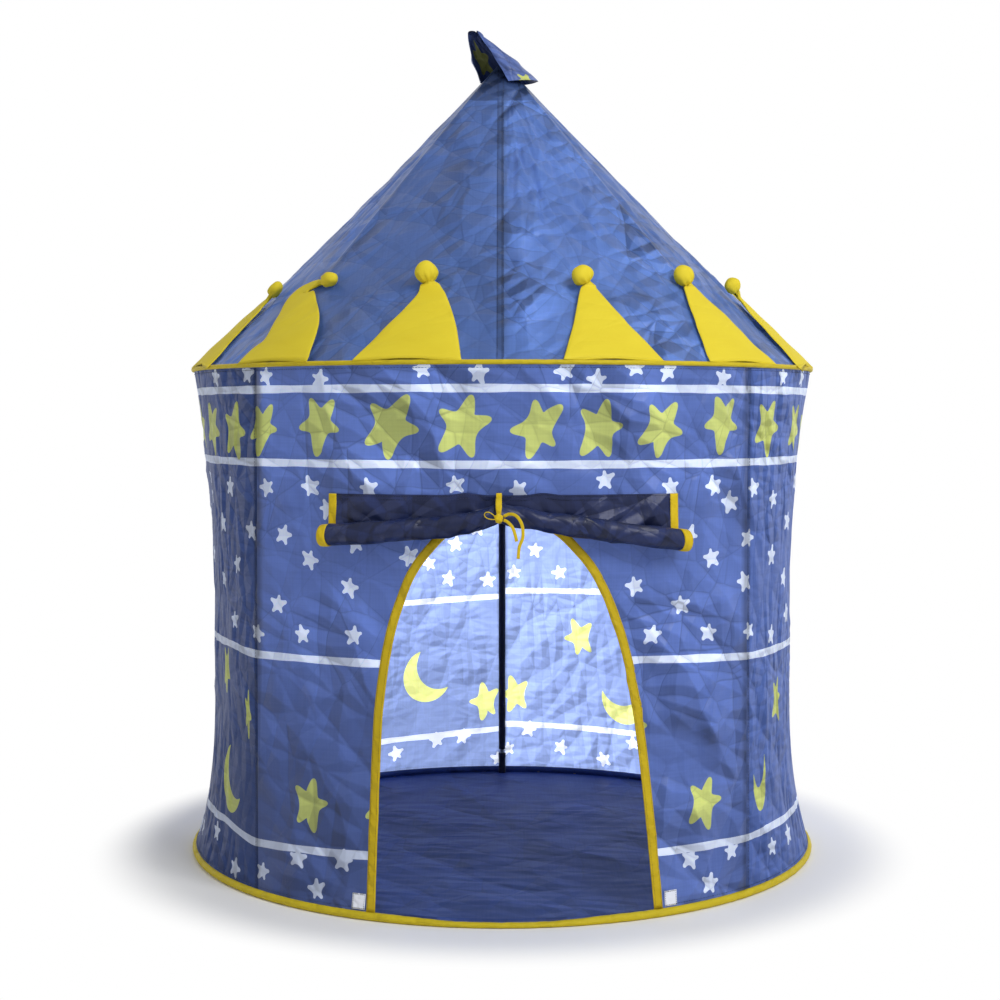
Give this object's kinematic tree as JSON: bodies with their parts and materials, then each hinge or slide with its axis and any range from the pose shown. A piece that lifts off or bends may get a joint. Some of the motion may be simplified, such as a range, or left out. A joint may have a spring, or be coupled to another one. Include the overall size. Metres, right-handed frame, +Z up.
{
  "type": "play tent",
  "caption": "Round pop-up play tent: sprung hoops and poles, printed cloth walls, arched doorway with a rolled-up door cloth, conical roof ringed with stuffed points, pennant on top.",
  "frame": {"origin": "middle of the floor mat's underside, on the ground", "axes": "+Z up through the roof's apex, -Y out through the doorway, +X to the right when seen from the front"},
  "size_m": [1.053, 1.0789, 1.376],
  "materials": {
    "wall_cloth": "satin",
    "roof_cloth": "satin",
    "mat_cloth": "satin",
    "door_navy": "satin",
    "sleeve_navy": "matt",
    "crown_yellow": "matt",
    "binding_yellow": "matt",
    "patch_white": "matt",
    "wire_steel": "plain",
    "pole_grey": "satin",
    "fitting_black": "satin",
    "ferrule_metal": "satin"
  },
  "bodies": {
    "tent": {"wall_front": "wall_cloth", "wall_back_left": "wall_cloth", "wall_back_right": "wall_cloth", "roof_cone": "roof_cloth", "floor_mat": "mat_cloth", "roof_seam_tape": "door_navy", "wall_sleeve_left": "sleeve_navy", "wall_sleeve_right": "sleeve_navy", "wall_sleeve_back": "sleeve_navy", "pole_pocket_left": "sleeve_navy", "pole_pocket_right": "sleeve_navy", "pole_pocket_back": "sleeve_navy", "floor_hem": "binding_yellow", "crown_hem": "binding_yellow", "arch_binding": "binding_yellow", "patch_left": "patch_white", "patch_right": "patch_white", "floor_hoop_wire": "wire_steel", "crown_hoop_wire": "wire_steel", "wall_pole_lower_left": "pole_grey", "wall_pole_lower_right": "pole_grey", "wall_pole_lower_back": "pole_grey", "wall_pole_upper_left": "pole_grey", "wall_pole_upper_right": "pole_grey", "wall_pole_upper_back": "pole_grey", "roof_pole_left": "pole_grey", "roof_pole_right": "pole_grey", "roof_pole_back": "pole_grey", "elbow_left": "fitting_black", "elbow_right": "fitting_black", "elbow_back": "fitting_black", "apex_hub": "fitting_black", "pole_ferrule_left": "ferrule_metal", "pole_ferrule_right": "ferrule_metal", "pole_ferrule_back": "ferrule_metal"},
    "door_roll": {"door_cloth": "door_navy", "door_edge_left": "binding_yellow", "door_edge_right": "binding_yellow", "tie_tab": "binding_yellow", "tie_knot": "binding_yellow", "tie_loop": "binding_yellow", "tie_tail_long": "binding_yellow", "tie_tail_short": "binding_yellow"},
    "pennant": {"pennant": "roof_cloth"},
    "crown_01": {"crown_point_01": "crown_yellow"},
    "crown_02": {"crown_point_02": "crown_yellow"},
    "crown_03": {"crown_point_03": "crown_yellow"},
    "crown_04": {"crown_point_04": "crown_yellow"},
    "crown_05": {"crown_point_05": "crown_yellow"},
    "crown_06": {"crown_point_06": "crown_yellow"},
    "crown_07": {"crown_point_07": "crown_yellow"},
    "crown_08": {"crown_point_08": "crown_yellow"},
    "crown_09": {"crown_point_09": "crown_yellow"},
    "crown_10": {"crown_point_10": "crown_yellow"},
    "crown_11": {"crown_point_11": "crown_yellow"},
    "crown_12": {"crown_point_12": "crown_yellow"},
    "crown_13": {"crown_point_13": "crown_yellow"}
  },
  "joints": [
    {"name": "door_roll_lift", "type": "hinge", "parent": "tent", "child": "door_roll", "pos_m": [0, -0.49971, 0.617], "axis": [-1, 0, 0], "range_deg": [0, 30]},
    {"name": "pennant_flip", "type": "hinge", "parent": "tent", "child": "pennant", "pos_m": [0, 0.03736, 1.289], "axis": [-1, 0, 0], "range_deg": [0, 98]},
    {"name": "crown_01_flop", "type": "hinge", "parent": "tent", "child": "crown_01", "pos_m": [0.16107, -0.4928, 0.8073], "axis": [0.9505, 0.3107, 0], "range_deg": [0, 180]},
    {"name": "crown_02_flop", "type": "hinge", "parent": "tent", "child": "crown_02", "pos_m": [0.36867, -0.36452, 0.8073], "axis": [0.7031, 0.7111, 0], "range_deg": [0, 180]},
    {"name": "crown_03_flop", "type": "hinge", "parent": "tent", "child": "crown_03", "pos_m": [0.49459, -0.15547, 0.8073], "axis": [0.2999, 0.954, 0], "range_deg": [0, 180]},
    {"name": "crown_04_flop", "type": "hinge", "parent": "tent", "child": "crown_04", "pos_m": [0.51093, 0.08802, 0.8073], "axis": [-0.1698, 0.9855, 0], "range_deg": [0, 180]},
    {"name": "crown_05_flop", "type": "hinge", "parent": "tent", "child": "crown_05", "pos_m": [0.41405, 0.31201, 0.8073], "axis": [-0.6018, 0.7986, 0], "range_deg": [0, 180]},
    {"name": "crown_06_flop", "type": "hinge", "parent": "tent", "child": "crown_06", "pos_m": [0.22544, 0.46687, 0.8073], "axis": [-0.9005, 0.4348, 0], "range_deg": [0, 180]},
    {"name": "crown_07_flop", "type": "hinge", "parent": "tent", "child": "crown_07", "pos_m": [-0.01312, 0.51829, 0.8073], "axis": [-0.9997, -0.0253, 0], "range_deg": [0, 180]},
    {"name": "crown_08_flop", "type": "hinge", "parent": "tent", "child": "crown_08", "pos_m": [-0.24877, 0.45487, 0.8073], "axis": [-0.8774, -0.4798, 0], "range_deg": [0, 180]},
    {"name": "crown_09_flop", "type": "hinge", "parent": "tent", "child": "crown_09", "pos_m": [-0.42931, 0.29066, 0.8073], "axis": [-0.5606, -0.8281, 0], "range_deg": [0, 180]},
    {"name": "crown_10_flop", "type": "hinge", "parent": "tent", "child": "crown_10", "pos_m": [-0.51472, 0.06206, 0.8073], "axis": [-0.1197, -0.9928, 0], "range_deg": [0, 180]},
    {"name": "crown_11_flop", "type": "hinge", "parent": "tent", "child": "crown_11", "pos_m": [-0.48609, -0.18029, 0.8073], "axis": [0.3477, -0.9376, 0], "range_deg": [0, 180]},
    {"name": "crown_12_flop", "type": "hinge", "parent": "tent", "child": "crown_12", "pos_m": [-0.34976, -0.3827, 0.8073], "axis": [0.7382, -0.6746, 0], "range_deg": [0, 180]},
    {"name": "crown_13_flop", "type": "hinge", "parent": "tent", "child": "crown_13", "pos_m": [-0.13593, -0.50031, 0.8073], "axis": [0.965, -0.2622, 0], "range_deg": [0, 180]}
  ]
}
